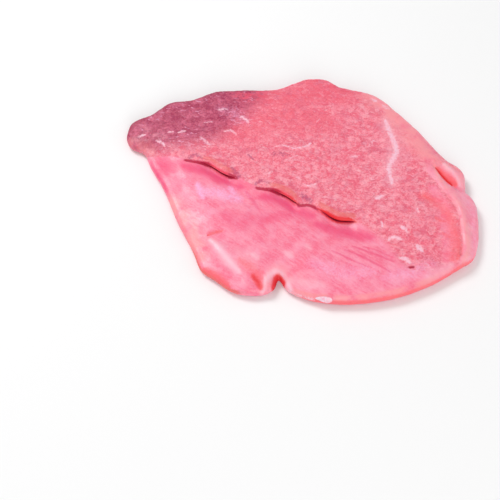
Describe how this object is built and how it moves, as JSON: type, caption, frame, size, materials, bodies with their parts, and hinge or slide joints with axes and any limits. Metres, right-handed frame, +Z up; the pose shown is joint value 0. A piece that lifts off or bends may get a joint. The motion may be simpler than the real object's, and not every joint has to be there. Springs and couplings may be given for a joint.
{
  "type": "pork steak",
  "caption": "Raw boneless pork leg steak, cut thin, with a scalloped seam between two muscles and a soft rounded rim.",
  "frame": {"origin": "middle of the underside's box, on the surface that the steak lies on", "axes": "+Z up from the underside, +X along the steak from its left tip to its blunt end, -Y towards the viewer"},
  "size_m": [0.2012, 0.1618, 0.0127],
  "materials": {
    "meat": "raw pink pork, moist, with pale rim, fat flecks and darker seam",
    "fat": "moist white-pink fat"
  },
  "bodies": {
    "root": {"steak": "meat"}
  },
  "joints": []
}
